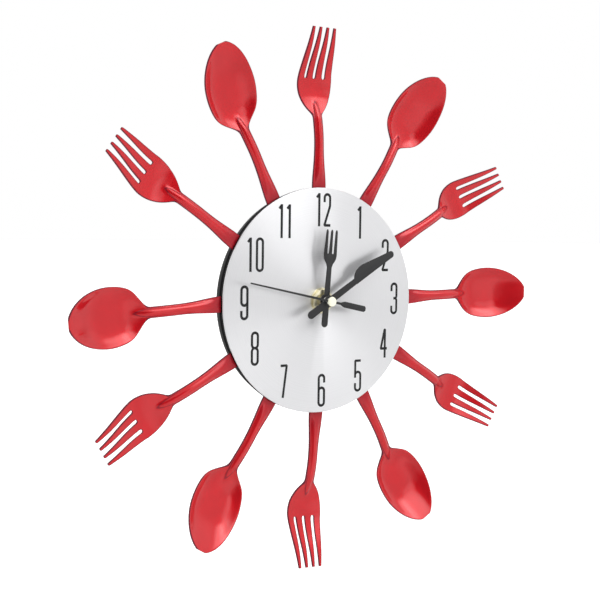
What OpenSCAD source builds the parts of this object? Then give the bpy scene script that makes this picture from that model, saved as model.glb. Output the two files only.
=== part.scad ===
// Wall clock with twelve red forks and spoons standing out of a round case,
// hands shaped as a fork and a knife, and a battery quartz movement.
//
// Frame: origin on the hands' axis, in the plane of the wall. The front of
// the clock faces -Y, the wall is on +Y, and +Z points up at the 12.
// Depths are counted in millimetres behind the front face of the dial, so
// what stands in front of the dial has a negative depth.

/* [Dial] */
// Radius of the dial plate
dial_r = 65; // [55:1:80]
// Thickness of the dial plate
dial_t = 0.8; // [0.6:0.1:1.2]

/* [Case] */
// Thickness of the front shell
flange_t = 1.6; // [1.2:0.1:2.4]
// Depth of the rear shell
rear_depth = 8.4; // [7.4:0.1:10]
// Wall of the rear shell
rear_wall = 1.6; // [1.2:0.1:2]
// How much the rear shell narrows towards the back
rear_taper = 1.6; // [0:0.1:3]
// Case screws
screw_count = 6; // [3, 4, 6]
// Radius of the case screws' shank
screw_r = 1.2; // [1:0.1:1.5]

/* [Cutlery] */
// Thickness of the pressed metal
metal_t = 1.2; // [1:0.1:1.6]
// Length of the flat tang inside the case
tang_l = 14; // [12:0.5:18]
// Width of the tang and of the handle's flared root
tang_w = 9; // [7:0.5:11]
// Handle length, from the dial's edge to the neck
handle_l = 40; // [30:1:52]
// Handle width at its slimmest
handle_w = 6; // [4.5:0.1:8]
// Height of the ridge along the handle
ridge_h = 1.3; // [0.6:0.1:1.8]
// Length of a fork's head
fork_head_l = 50.7; // [40:0.1:62]
// Width of a fork's head at its shoulders
fork_head_w = 23; // [19:0.5:28]
// Width of a fork's head across its tine tips
fork_tip_w = 15.4; // [13:0.1:20]
// Length of the slots between the tines
slot_l = 27; // [20:0.5:32]
// Width of a slot at its root
slot_w = 2.2; // [1.6:0.1:2.8]
// Width of a tine at its tip
tine_tip_w = 1.4; // [1:0.1:1.8]
// Length of a spoon's bowl
bowl_l = 51.2; // [40:0.1:62]
// Width of a spoon's bowl
bowl_w = 32.2; // [24:0.1:38]
// Depth of a spoon's bowl
bowl_depth = 5; // [3:0.5:7]

/* [Hands] */
// Hour shown
shown_hour = 12; // [1:1:12]
// Minute shown
shown_minute = 9; // [0:1:59]
// Second shown
shown_second = 47; // [0:1:59]
// Length of the hour hand from its centre
hour_hand_l = 41; // [34:0.5:44]
// Length of the minute hand from its centre
minute_hand_l = 53.5; // [46:0.5:60]
// Length of the second hand from its centre
second_hand_l = 55; // [50:0.5:62]
// Thickness of the hour and minute hands
hand_t = 0.5; // [0.3:0.1:0.6]

/* [Movement] */
// Width and height of the movement
movement_w = 56; // [55:0.5:62]
// Depth of the movement
movement_depth = 16; // [16:0.1:18]
// Wall of the movement's case
movement_wall = 1.4; // [1.2:0.1:1.6]
// Thickness of the gasket in front of the movement
gasket_t = 0.8; // [0.5:0.1:1.2]
// Radius of the hole in the hanger tab
hanger_r = 4; // [3:0.1:5]

/* [Battery] */
// Radius of the AA cell
cell_r = 7.1; // [7.0:0.05:7.25]
// Length of the AA cell with its nub
cell_l = 50.4; // [50:0.1:50.5]

/* [Hidden] */
$fn = 64;

// Clearances
run_clear = 0.05;      // a shaft in its bearing
fit_clear = 0.2;       // a fixed piece in its seat
free_clear = 0.3;      // pieces that pass each other

// Depths of the stack on the hands' axis, from the front of the dial
flange_d = dial_t;
tang_front = flange_d + flange_t;
tang_back = tang_front + metal_t;
rear_back = tang_back + rear_depth;
tray_front = tang_front + gasket_t;
tray_floor = tray_front + movement_wall;
cover_back = tray_front + movement_depth;
cover_front = cover_back - movement_wall;
total_depth = cover_back;

// Neck, nut and washer
bush_r = 4;
washer_t = 0.4;
washer_r = 7.4;
nut_t = 2.2;
nut_corner_r = 7;
nut_turn = 22.5;
bush_front = -3.2;

// Tubes of the hour and minute wheels, and the shaft of the second wheel
hour_tube_r = 2.5;
hour_bore_r = 1.75;
minute_tube_r = hour_bore_r - run_clear;
minute_bore_r = 0.62;
second_shaft_r = minute_bore_r - run_clear;

// Depths of the hands, each a flat plate
hour_hand_d = -5.5;
minute_hand_d = -8.3;
second_hand_d = -10.7;
second_hand_t = 0.3;
cap_front = -11.9;
cap_r = 2.8;

// Where the hands point at rest, clockwise from 12
minute_now = shown_minute + shown_second / 60;
hour_angle = 30 * (shown_hour % 12) + minute_now / 2;
minute_angle = 6 * minute_now;
second_angle = 6 * shown_second;

// Cutlery: hour by hour, the clockwise lean of each piece in its socket, and
// how far its socket is set over along the rim
lean = [-0.5, 3.6, 2, -1, 0.5, 0.6, 3.7, 1.7, 1.4, -4.6, 5.1, 4.6];
socket_shift = [-0.7, -0.5, -0.7, -0.7, -0.3, 0.3, 0.7, 0.3, 0.8, -0.4, 0.7, 0.9];
lean_pivot = dial_r - 3;
peg_place = dial_r - 8;
peg_r = 1.5;
corner_r = 3;          // corners of the movement's case
movement_corner = sqrt(2) * (movement_w / 2 - corner_r) + corner_r;
spacer_in = max(dial_r - tang_l - 9, movement_corner + free_clear);
spacer_out = dial_r - tang_l - 2;
groove_t = 1.4;        // step behind the tangs at the rear shell's front edge
rear_out = dial_r - 0.5;
rear_edge = 0.8;
clamp_t = 1.6;         // front plate of the rear shell
boss_r = 3;
boss_place = dial_r - 12;
head_r = 2.6;
head_t = 1;

edge_t = 0.9;          // metal of a spoon's bowl

// Gear train: teeth, modules and distances
backlash = 0.10;       // share of a tooth that is left free
second_teeth = 40;
intermediate_teeth = 48;
third_teeth = 60;
minute_teeth = 64;
leaf_teeth = 8;        // every small pinion of the seconds train
cannon_teeth = 12;
motion_teeth = 36;
motion_leaf_teeth = 10;
hour_teeth = 40;
setting_teeth = 12;

second_mod = 0.38;
rotor_mod = 0.32;
third_mod = 0.32;
minute_mod = third_mod * (leaf_teeth + third_teeth) / (leaf_teeth + minute_teeth);
motion_mod = 0.5;
hour_mod = motion_mod * (cannon_teeth + motion_teeth) / (motion_leaf_teeth + hour_teeth);

third_dist = third_mod * (leaf_teeth + third_teeth) / 2;
intermediate_dist = second_mod * (leaf_teeth + second_teeth) / 2;
rotor_dist = rotor_mod * (leaf_teeth + intermediate_teeth) / 2;
motion_dist = motion_mod * (cannon_teeth + motion_teeth) / 2;
setting_dist = motion_mod * (setting_teeth + motion_teeth) / 2;

// Directions between the arbors, clockwise from 12
third_dir = 60;
intermediate_dir = 300;
rotor_dir = 340;
motion_dir = 280;
setting_dir = 310;

function polar(r, a) = [r * sin(a), r * cos(a)];
third_at = polar(third_dist, third_dir);
intermediate_at = polar(intermediate_dist, intermediate_dir);
rotor_at = intermediate_at + polar(rotor_dist, rotor_dir);
motion_at = polar(motion_dist, motion_dir);
setting_at = motion_at + polar(setting_dist, setting_dir);

// Turn of gear b at rest, so that it meshes with gear a: dir is the
// direction from a to b, and a itself is turned by turn_a
function mesh_turn(dir, teeth_a, turn_a, teeth_b) =
    dir + 180 + 180 / teeth_b - (turn_a - dir) * teeth_a / teeth_b;

third_turn = mesh_turn(third_dir, leaf_teeth, 0, third_teeth);
minute_turn = mesh_turn(third_dir + 180, leaf_teeth, 0, minute_teeth);
intermediate_leaf_turn = mesh_turn(intermediate_dir, second_teeth, 0, leaf_teeth);
rotor_turn = mesh_turn(rotor_dir, intermediate_teeth, 0, leaf_teeth);
motion_turn = mesh_turn(motion_dir, cannon_teeth, 0, motion_teeth);
hour_turn = mesh_turn(motion_dir + 180, motion_leaf_teeth, 0, hour_teeth);
setting_turn = mesh_turn(setting_dir, motion_teeth, motion_turn, setting_teeth);

// Levels of the train, counted from the tray's floor
level = tray_floor - 4.6;
hour_level = level + 5;
motion_leaf_level = level + 4.9;
motion_level = level + 7;
cannon_level = level + 6.8;
minute_level = level + 8.8;
third_leaf_level = level + 8.7;
magnet_level = level + 9.6;
stator_level = level + 10.4;
second_leaf_level = level + 10.4;
third_level = level + 10.6;
intermediate_leaf_level = level + 11.9;
second_level = level + 12.1;
rotor_leaf_level = level + 13.4;
intermediate_level = level + 13.6;
plate_level = level + 15.2;
plate_t = 1.2;
plate_back = plate_level + plate_t;
wheel_t = 0.8;
leaf_t = 1.2;
arbor_r = 0.5;
pivot_r = 0.35;
pivot_in = 0.8;        // how far a pivot enters its hole
post_r = 0.9;
magnet_r = 3;
magnet_t = 2.4;
stator_t = 0.8;

// Movement case, battery bay, board and coil
tray_in = movement_w / 2 - movement_wall;
bay_wall = 1;
cell_z = -tray_in + free_clear + cell_r;
cell_d = tray_floor + free_clear + cell_r;
bay_top = cell_z + cell_r + free_clear;
contact_t = 0.4;
nub_l = 1;
nub_r = 2.75;
pillars = [[-23.6, -7.4], [12, -7.4], [-2, 13.2]];
pillar_r = 1.6;
plate_left = -25.2;
plate_right = 13.8;
plate_low = bay_top + bay_wall + free_clear;
plate_high = 17;
board_left = plate_right + 0.7;
board_t = 1;
board_high = 15;
coil_z = 22;
coil_left = -4;
coil_l = 20;
coil_r = 3.6;
coil_flange_r = 3.9;
coil_flange_t = 1;
core_w = 2;
knob_r = 5;
knob_t = 1.5;
knob_shaft_r = 1.5;
hanger_z = movement_w / 2 + 4.5;
hanger_w = 20;
hanger_notch_r = 1.4;

// ---------------------------------------------------------------- helpers

// Extrudes a flat shape, drawn as the front shows it, from depth d0 to d1
module slab(d0, d1) {
    translate([0, d1 - total_depth, 0])
        rotate([90, 0, 0])
            linear_extrude(d1 - d0) children();
}

// Turns a flat profile of (radius, depth) about the hands' axis
module turned() {
    translate([0, -total_depth, 0])
        rotate([-90, 0, 0])
            rotate_extrude($fn = 96) children();
}

// A round disc or ring from depth d0 to d1 at a place on the front view
module disc(d0, d1, r, bore = 0, at = [0, 0]) {
    slab(d0, d1) translate(at) difference() {
        circle(r);
        if (bore > 0) circle(bore);
    }
}

// A square with round corners, all true lines and arcs
module rounded_square(w, r) {
    square([w, w - 2 * r], center = true);
    square([w - 2 * r, w], center = true);
    for (x = [-1, 1], z = [-1, 1])
        translate([x, z] * (w / 2 - r)) circle(r);
}

// Outline of a clock gear: radial flanks and rounded tips
function gear_points(teeth, mod) =
    let (pitch_r = teeth * mod / 2,
         half = 90 / teeth * (1 - backlash),
         shape = [[-1, pitch_r - 1.15 * mod], [-1, pitch_r],
                  [-0.72, pitch_r + 0.45 * mod], [-0.3, pitch_r + 0.75 * mod],
                  [0.3, pitch_r + 0.75 * mod], [0.72, pitch_r + 0.45 * mod],
                  [1, pitch_r], [1, pitch_r - 1.15 * mod]])
    [for (i = [0 : teeth - 1], p = shape)
        polar(p[1], 360 / teeth * i + half * p[0])];

// A gear from depth d0 to d1, bored through
module gear(teeth, mod, turn, d0, d1, bore = 0, at = [0, 0]) {
    slab(d0, d1) translate(at) difference() {
        rotate(-turn) polygon(gear_points(teeth, mod));
        if (bore > 0) circle(bore);
    }
}

// ---------------------------------------------------------------- case

module dial_plate() {
    chamfer = 0.25;
    color("gainsboro") turned() polygon([
        [bush_r + fit_clear, 0], [dial_r - chamfer, 0], [dial_r, chamfer],
        [dial_r, dial_t], [bush_r + fit_clear, dial_t]]);
}

function screw_angle(i) = 15 + 360 / screw_count * i;

module at_screws() {
    for (i = [0 : screw_count - 1])
        translate(polar(boss_place, screw_angle(i))) children();
}

// Where the middle line of an hour's piece lies in the front view
function socket_point(hour, r) =
    polar(lean_pivot, 30 * hour) + polar(socket_shift[hour], 30 * hour + 90)
    + polar(r - lean_pivot, 30 * hour + lean[hour]);

module front_shell() {
    color("dimgray") {
        disc(flange_d, tang_front, dial_r, bush_r + fit_clear);
        disc(tang_front, tang_back, spacer_out, spacer_in);
        slab(tang_front, tang_back + clamp_t)
            for (hour = [0 : 11])
                translate(socket_point(hour, peg_place)) circle(peg_r);
        slab(tang_front, rear_back - rear_wall)
            at_screws() difference() {
                circle(boss_r);
                circle(screw_r + run_clear);
            }
    }
}

module rear_shell() {
    mid = rear_out - rear_taper;
    color("dimgray") difference() {
        turned() difference() {
            polygon([
                [spacer_in, tang_back], [rear_out - groove_t, tang_back],
                [rear_out, tang_back + groove_t], [mid, rear_back - rear_edge],
                [mid - rear_edge, rear_back], [0, rear_back],
                [0, rear_back - rear_wall], [spacer_in, rear_back - rear_wall]]);
            polygon([
                [0, tang_back + clamp_t], [rear_out - rear_wall, tang_back + clamp_t],
                [mid - rear_wall, rear_back - rear_wall], [0, rear_back - rear_wall]]);
        }
        slab(tang_back - 1, rear_back + 1)
            square(movement_w + 2 * free_clear, center = true);
        slab(tang_back - 1, tang_back + clamp_t + 1) {
            for (hour = [0 : 11])
                translate(socket_point(hour, peg_place)) circle(peg_r + fit_clear);
            at_screws() circle(boss_r + fit_clear);
        }
        slab(rear_back - head_t, rear_back + 1) at_screws() circle(head_r + fit_clear);
        slab(rear_back - rear_wall - 1, rear_back) at_screws() circle(screw_r + fit_clear);
    }
}

module case_screws() {
    color("silver") difference() {
        union() {
            slab(rear_back - head_t, rear_back) at_screws() circle(head_r);
            slab(tang_back + 1, rear_back - head_t) at_screws() circle(screw_r);
        }
        slab(rear_back - head_t / 2, rear_back + 1) at_screws() {
            square([2.6, 0.6], center = true);
            square([0.6, 2.6], center = true);
        }
    }
}

// ---------------------------------------------------------------- cutlery

// Smooth step from 0 to 1 as x goes from a to b
function ease(a, b, x) =
    let (t = min(1, max(0, (x - a) / (b - a)))) t * t * (3 - 2 * t);

// Half width of the handle at distance s beyond the dial's edge
function handle_half(s) =
    handle_w / 2 + (tang_w - handle_w) / 2 * (1 - ease(0, handle_l * 0.55, s));

// Length of the neck before a fork's head widens, and the two powers that
// round its shoulders
neck_l = 2.5;
shoulder_swell = [2.2, 0.85];

// Half width of each head: a fork's shoulders round out and then taper to
// the tips, and a spoon's bowl is an oval
function fork_half(s) =
    let (x = s - handle_l, shoulder = fork_head_l - slot_l - 3,
         rise = max(0, (x - neck_l) / (shoulder - neck_l)))
    x <= 0 ? handle_half(s)
    : x < shoulder
        ? handle_w / 2 + (fork_head_w - handle_w) / 2
            * pow(1 - pow(1 - rise, shoulder_swell[0]), shoulder_swell[1])
        : fork_head_w / 2 - (fork_head_w - fork_tip_w) / 2
            * (x - shoulder) / (fork_head_l - shoulder);
function spoon_half(s) =
    let (x = (s - handle_l) / bowl_l * 2 - 1,
         oval = pow(max(0, 1 - x * x), 0.56) * bowl_w / 2)
    x <= -1 ? handle_half(s)
    : x > 0 ? max(oval, 0.6)
    : max(oval * ease(-1.2, -0.5, x), handle_half(s));

// Depth of the middle of the metal's edge behind the middle of the tang
fork_bow = [[-0.2, 0], [0, 1.6], [0.14, 4.3], [0.26, 5.6], [0.38, 5.6], [0.5, 4.3],
    [0.63, 1.7], [0.79, -1.8], [0.9, -3.6], [1, -5]];
spoon_bow = [[-0.2, 0], [0, 1.6], [0.14, 3], [0.25, 2.1], [0.37, 0.8], [0.49, -0.7],
    [0.63, -2.2], [0.78, -4.7], [0.9, -7], [1, -9.3]];
function edge_depth(bow, head_l, s) =
    (tang_front + tang_back) / 2 + lookup((s - handle_l) / head_l, bow);

// How far the middle line stands in front of the edges: the ridge of the
// handle, and inside a head the hollow, which is a negative ridge
function crown(hollow, head_l, s) =
    let (x = (s - handle_l) / head_l)
    s <= 0 ? 0
    : x <= 0 ? ridge_h * ease(0, 5, s)
    : ridge_h * (1 - ease(0, 0.16, x)) - hollow * ease(0.04, 0.42, x) * (1 - ease(0.55, 1, x));

// One cross-section: the front skin from left to right, then the back skin
section_n = 6;
function section(s, half, mid, front_crown, back_crown, thick) =
    concat(
        [for (j = [0 : section_n])
            let (u = -1 + 2 * j / section_n)
            [half * u, mid - thick / 2 - front_crown * (1 - u * u), s]],
        [for (j = [section_n : -1 : 0])
            let (u = -1 + 2 * j / section_n)
            [half * u, mid + thick / 2 - back_crown * (1 - u * u), s]]);

// Joins cross-sections of n points each into one closed skin
module loft(sections) {
    n = len(sections[0]);
    rings = len(sections);
    points = [for (one = sections, p = one) p];
    sides = [for (i = [0 : rings - 2], j = [0 : n - 1])
        let (a = i * n + j, b = i * n + (j + 1) % n, c = a + n, d = b + n)
        each [[a, b, d], [a, d, c]]];
    low = [for (j = [0 : n / 2 - 2]) let (k = n - 1 - j)
        each [[j, k, j + 1], [j + 1, k, k - 1]]];
    last = (rings - 1) * n;
    high = [for (f = low) [for (v = [2 : -1 : 0]) last + f[v]]];
    translate([0, -total_depth, dial_r])
        polyhedron(points, concat(sides, low, high), convexity = 6);
}

// Stations along a piece, from the inner end of its tang to its tip
function stations(head_l, steps) = concat(
    [-tang_l, -0.6, 3, 8, handle_l * 0.35, handle_l * 0.55, handle_l * 0.75, handle_l * 0.88,
        handle_l],
    [for (x = steps) handle_l + head_l * x]);
fork_steps = [0.05, 0.1, 0.16, 0.22, 0.3, 0.38, 0.45, 0.55, 0.68, 0.84, 0.93, 1];
spoon_steps = [0.04, 0.09, 0.15, 0.22, 0.3, 0.4, 0.5, 0.6, 0.7, 0.8, 0.88, 0.94, 0.98, 1];

// Leans a piece in its socket and turns it to its hour
module at_hour(hour) {
    rotate([0, 30 * hour, 0])
        translate([socket_shift[hour], 0, lean_pivot]) rotate([0, lean[hour], 0])
            translate([0, 0, -lean_pivot]) children();
}

module peg_hole() {
    slab(tang_front - 2, tang_back + 2)
        translate([0, peg_place]) circle(peg_r + fit_clear, $fn = 24);
}

module fork(hour) {
    root_z = dial_r + handle_l + fork_head_l - slot_l;
    tip_z = dial_r + handle_l + fork_head_l;
    root_pitch = (fork_head_w - slot_w) / 4 + slot_w / 4;
    tip_pitch = (fork_tip_w - tine_tip_w) / 3;
    tip_slot = tip_pitch - tine_tip_w;
    color("crimson") at_hour(hour) difference() {
        loft([for (s = stations(fork_head_l, fork_steps))
            let (x = (s - handle_l) / fork_head_l)
            section(s, s < 0 ? tang_w / 2 : fork_half(s),
                edge_depth(fork_bow, fork_head_l, s),
                crown(1.2, fork_head_l, s),
                x <= 0 ? 0 : crown(1.2, fork_head_l, s),
                x <= 0 ? metal_t : metal_t + ease(0.3, 0.5, x) * 0.2)]);
        slab(-20, total_depth + 20)
            for (i = [-1, 0, 1]) {
                translate([i * root_pitch, root_z]) circle(slot_w / 2, $fn = 16);
                polygon([
                    [i * root_pitch - slot_w / 2, root_z],
                    [i * tip_pitch - tip_slot / 2, tip_z - 4],
                    [i * tip_pitch - tip_slot / 2 - 0.3, tip_z + 1],
                    [i * tip_pitch + tip_slot / 2 + 0.3, tip_z + 1],
                    [i * tip_pitch + tip_slot / 2, tip_z - 4],
                    [i * root_pitch + slot_w / 2, root_z]]);
            }
        peg_hole();
    }
}

module spoon(hour) {
    color("crimson") at_hour(hour) difference() {
        loft([for (s = stations(bowl_l, spoon_steps))
            let (x = (s - handle_l) / bowl_l)
            section(s, s < 0 ? tang_w / 2 : spoon_half(s),
                edge_depth(spoon_bow, bowl_l, s),
                crown(bowl_depth, bowl_l, s),
                x <= 0 ? 0 : min(0, crown(bowl_depth, bowl_l, s)),
                x <= 0 ? metal_t : edge_t)]);
        peg_hole();
    }
}

// ---------------------------------------------------------------- neck

module neck_bush() {
    bore = hour_tube_r + run_clear;
    color("goldenrod") {
        disc(bush_front, tray_floor, bush_r, bore);
        disc(tray_front + 0.4, tray_floor, bush_r + 1.5, bore);
    }
}

module neck_washer() {
    color("gold") disc(-washer_t, 0, washer_r, bush_r + run_clear);
}

module neck_nut() {
    color("gold") slab(-washer_t - nut_t, -washer_t) difference() {
        rotate(-nut_turn) circle(nut_corner_r, $fn = 8);
        circle(bush_r + run_clear);
    }
}

module gasket() {
    color("black") disc(tang_front, tray_front, movement_w / 4, bush_r + fit_clear);
}

// ---------------------------------------------------------------- movement

module movement_tray() {
    seat = bush_r + 1.5;
    color("black") {
        difference() {
            slab(tray_front, cover_front) rounded_square(movement_w, corner_r);
            slab(tray_floor, cover_front + 1)
                rounded_square(2 * tray_in, corner_r - movement_wall);
            slab(tray_front - 1, tray_floor + 1) circle(bush_r);
            slab(tray_front + 0.4, tray_floor + 1) circle(seat);
            slab(tray_floor - pivot_in, tray_floor + 1) {
                for (at = [third_at, rotor_at])
                    translate(at) circle(pivot_r + run_clear);
                translate(setting_at) circle(pivot_r * 2 + run_clear);
            }
        }
        slab(tray_floor, cover_front)
            translate([-tray_in, bay_top]) square([2 * tray_in, bay_wall]);
        disc(tray_floor, motion_level + 1.4, post_r, 0, motion_at);
        slab(tray_floor, plate_level) for (at = pillars)
            translate(at) difference() {
                circle(pillar_r);
                circle(0.6);
            }
    }
}

module movement_cover() {
    half_bay = cell_l / 2 + free_clear;
    color("black") slab(cover_front, cover_back) difference() {
        union() {
            rounded_square(movement_w, corner_r);
            translate([-hanger_w / 2, 0]) square([hanger_w, hanger_z]);
            translate([0, hanger_z]) circle(hanger_w / 2);
        }
        translate([-half_bay, cell_z - cell_r - free_clear])
            square([2 * half_bay, 2 * (cell_r + free_clear)]);
        translate(setting_at) circle(knob_r + 2 * free_clear);
        translate([0, hanger_z]) circle(hanger_r);
        translate([0, hanger_z + hanger_r]) circle(hanger_notch_r);
    }
}

module train_plate() {
    color("ivory") {
        slab(plate_level, plate_back) difference() {
            translate([plate_left, plate_low])
                square([plate_right - plate_left, plate_high - plate_low]);
            for (at = [[0, 0], third_at, rotor_at])
                translate(at) circle(pivot_r + run_clear);
            translate(setting_at) circle(knob_shaft_r + run_clear);
            for (at = pillars) translate(at) circle(0.8);
        }
        disc(intermediate_leaf_level - 0.2, plate_level, arbor_r, 0, intermediate_at);
    }
}

module plate_screws() {
    color("silver") {
        slab(plate_back, plate_back + 0.8) for (at = pillars) translate(at) circle(1.5);
        slab(plate_level - 4, plate_back) for (at = pillars) translate(at) circle(0.55);
    }
}

// ---------------------------------------------------------------- hands and wheels

module hour_wheel() {
    color("white") {
        gear(hour_teeth, hour_mod, hour_turn, hour_level, hour_level + leaf_t, hour_bore_r);
        disc(hour_hand_d - 0.2, hour_level + 0.1, hour_tube_r, hour_bore_r);
    }
}

// Fork: a stem with a round tail, a head, and three tines
module hour_hand() {
    hub_r = 4.2;
    stem = 1.6;
    tail_r = 2.1;
    tail = 15.1;
    head = 4.45;
    tip_half = 3.9;
    slot_root = hour_hand_l - 13.2;
    root_pitch = 3.35;
    tip_pitch = 3.2;
    slot_half = 0.6;
    tip_slot_half = 0.9;
    taper = 1.2;
    right = [
        [stem, slot_root - 8.4], [2.3, slot_root - 6.4], [3.3, slot_root - 5],
        [4.1, slot_root - 3.4], [head, slot_root - 1.2], [tip_half, hour_hand_l - taper],
        [tip_half - 0.4, hour_hand_l]];
    color("black") slab(hour_hand_d, hour_hand_d + hand_t) rotate(-hour_angle) difference() {
        union() {
            circle(hub_r);
            polygon(concat(
                [for (a = [180 : 15 : 360]) [0, tail_r - tail] + tail_r * [cos(a), sin(a)]],
                right,
                [for (i = [len(right) - 1 : -1 : 0]) [-right[i][0], right[i][1]]]));
        }
        circle(hour_tube_r);
        for (i = [-0.5, 0.5]) {
            translate([i * root_pitch, slot_root]) circle(slot_half, $fn = 24);
            polygon([
                [i * root_pitch - slot_half, slot_root],
                [i * tip_pitch - tip_slot_half, hour_hand_l - taper],
                [i * tip_pitch - tip_slot_half - 0.4, hour_hand_l + 0.1],
                [i * tip_pitch + tip_slot_half + 0.4, hour_hand_l + 0.1],
                [i * tip_pitch + tip_slot_half, hour_hand_l - taper],
                [i * root_pitch + slot_half, slot_root]]);
        }
    }
}

module cannon_pinion() {
    collar = minute_level - 0.1;
    color("white") {
        gear(cannon_teeth, motion_mod, 0, cannon_level, cannon_level + 1.4, minute_bore_r);
        disc(minute_hand_d - 0.2, cannon_level + 0.1, minute_tube_r, minute_bore_r);
        disc(cannon_level + 1.3, collar, 2.8, minute_bore_r);
        disc(collar - 0.1, minute_level + wheel_t + 0.1, 2.2, minute_bore_r);
        disc(minute_level + wheel_t + 0.1, minute_level + wheel_t + 0.5, 2.8, minute_bore_r);
    }
}

// Knife: a stem with a round tail and a blade that bulges on one side
module minute_hand() {
    hub_r = 3.4;
    stem = 1.8;
    tail_r = 2.3;
    tail = 16.6;
    back = 2;
    root = minute_hand_l - 32;
    end_r = 2.1;
    color("black") slab(minute_hand_d, minute_hand_d + hand_t) rotate(-minute_angle) difference() {
        union() {
            polygon(concat(
                [for (a = [180 : 15 : 360]) [0, tail_r - tail] + tail_r * [cos(a), sin(a)]],
                [[stem, root + 1], [-stem, root + 1]]));
            circle(hub_r);
            polygon([
                [back, root], [back, minute_hand_l - end_r],
                [-back, minute_hand_l - end_r], [-6, root + 9], [-5.9, root + 6.5],
                [-5.4, root + 4.3], [-4.5, root + 2.4], [-3.2, root + 0.9],
                [-stem, root]]);
            translate([0, minute_hand_l - end_r]) circle(end_r);
        }
        circle(minute_tube_r);
    }
}

module minute_wheel() {
    color("white")
        gear(minute_teeth, minute_mod, minute_turn, minute_level, minute_level + wheel_t,
            2.2 + run_clear);
}

module second_wheel() {
    color("white") {
        disc(second_hand_d, second_leaf_level + 0.1, second_shaft_r);
        gear(leaf_teeth, third_mod, 0, second_leaf_level, second_leaf_level + leaf_t);
        disc(second_leaf_level + leaf_t - 0.1, second_level + 0.1, 1.5);
        gear(second_teeth, second_mod, 0, second_level, second_level + wheel_t);
        disc(second_level + wheel_t - 0.1, plate_level + pivot_in, pivot_r);
    }
}

// A thin needle with a bar-shaped counterweight
module second_hand() {
    hub = 1.6;
    needle = 0.42;
    neck = 0.7;
    bar = 1.75;
    bar_end = 24.6;
    right = [
        [neck, 0], [needle, second_hand_l - 0.3], [0.2, second_hand_l]];
    left_weight = [
        [-neck, -6.4], [-1.4, -8.2], [-bar, -9.4], [-bar, 1 - bar_end], [-0.9, -bar_end]];
    color("black") slab(second_hand_d, second_hand_d + second_hand_t) rotate(-second_angle)
        difference() {
            union() {
                circle(hub);
                polygon(concat(
                    right, [for (i = [2, 1, 0]) [-right[i][0], right[i][1]]],
                    left_weight, [for (i = [4 : -1 : 0]) [-left_weight[i][0], left_weight[i][1]]]));
            }
            circle(second_shaft_r);
        }
}

// The brass tube that carries the second hand on its shaft
module second_hand_collet() {
    back = second_hand_d + second_hand_t;
    color("goldenrod") disc(back, back + 0.9, 1, second_shaft_r);
}

// The round cap in front of the second hand
module second_hand_cap() {
    color("ivory") turned() polygon([
        [0, cap_front], [cap_r - 0.8, cap_front], [cap_r - 0.2, cap_front + 0.3],
        [cap_r, cap_front + 0.8], [cap_r, second_hand_d], [0, second_hand_d]]);
}

module third_wheel() {
    color("white") {
        disc(tray_floor - pivot_in + 0.1, tray_floor + 0.2, pivot_r, 0, third_at);
        disc(tray_floor + 0.1, plate_level - 0.2, arbor_r, 0, third_at);
        gear(leaf_teeth, minute_mod, 0, third_leaf_level, third_leaf_level + 1.1, 0, third_at);
        disc(third_leaf_level + 1, third_level + 0.1, 0.75, 0, third_at);
        gear(third_teeth, third_mod, third_turn, third_level, third_level + wheel_t, 0, third_at);
        disc(plate_level - 0.3, plate_level + pivot_in, pivot_r, 0, third_at);
    }
}

module intermediate_wheel() {
    bore = arbor_r + run_clear;
    color("white") {
        gear(leaf_teeth, second_mod, intermediate_leaf_turn, intermediate_leaf_level,
            intermediate_leaf_level + leaf_t, bore, intermediate_at);
        disc(intermediate_leaf_level + leaf_t - 0.1, intermediate_level + 0.1, 1, bore,
            intermediate_at);
        gear(intermediate_teeth, rotor_mod, 0, intermediate_level,
            intermediate_level + wheel_t, bore, intermediate_at);
    }
}

module rotor_pinion() {
    color("white") {
        disc(tray_floor - pivot_in + 0.1, tray_floor + 0.2, pivot_r, 0, rotor_at);
        disc(tray_floor + 0.1, rotor_leaf_level + 0.1, arbor_r, 0, rotor_at);
        gear(leaf_teeth, rotor_mod, rotor_turn, rotor_leaf_level, rotor_leaf_level + leaf_t,
            0, rotor_at);
        disc(rotor_leaf_level + leaf_t - 0.1, plate_level + pivot_in, pivot_r, 0, rotor_at);
    }
}

module rotor_magnet() {
    color("darkslategray")
        disc(magnet_level, magnet_level + magnet_t, magnet_r, arbor_r, rotor_at);
}

module motion_wheel() {
    bore = post_r + run_clear;
    color("white") {
        gear(motion_leaf_teeth, hour_mod, 0, motion_leaf_level, motion_leaf_level + 1.6,
            bore, motion_at);
        disc(motion_leaf_level + 1.5, motion_level + 0.1, 1.7, bore, motion_at);
        gear(motion_teeth, motion_mod, motion_turn, motion_level, motion_level + 1, bore,
            motion_at);
    }
}

module setting_knob() {
    knob_front = cover_back - knob_t - free_clear;
    color("red") {
        disc(tray_floor - pivot_in + 0.1, cannon_level + 0.1, pivot_r * 2, 0, setting_at);
        gear(setting_teeth, motion_mod, setting_turn, cannon_level, cannon_level + 1.4, 0,
            setting_at);
        disc(cannon_level + 1.3, knob_front + 0.1, knob_shaft_r, 0, setting_at);
        gear(24, 2 * knob_r / 25, 0, knob_front, cover_back - free_clear, 0, setting_at);
    }
}

// ---------------------------------------------------------------- motor and board

module stator() {
    limb = 3;
    left = rotor_at[0] - 5.5;
    right = coil_left + coil_l + 5.5;
    low = 16;
    color("lightsteelblue") slab(stator_level, stator_level + stator_t) difference() {
        union() {
            translate(rotor_at) circle(5.5);
            translate([left, rotor_at[1]]) square([limb, coil_z + 1 - rotor_at[1]]);
            translate([left, coil_z - 1]) square([right - left, core_w]);
            translate([right - limb, low]) square([limb, coil_z + 1 - low]);
            translate([rotor_at[0] + 3, low]) square([right - rotor_at[0] - 3, 1.6]);
        }
        translate(rotor_at) circle(magnet_r + 0.6);
    }
}

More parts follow.
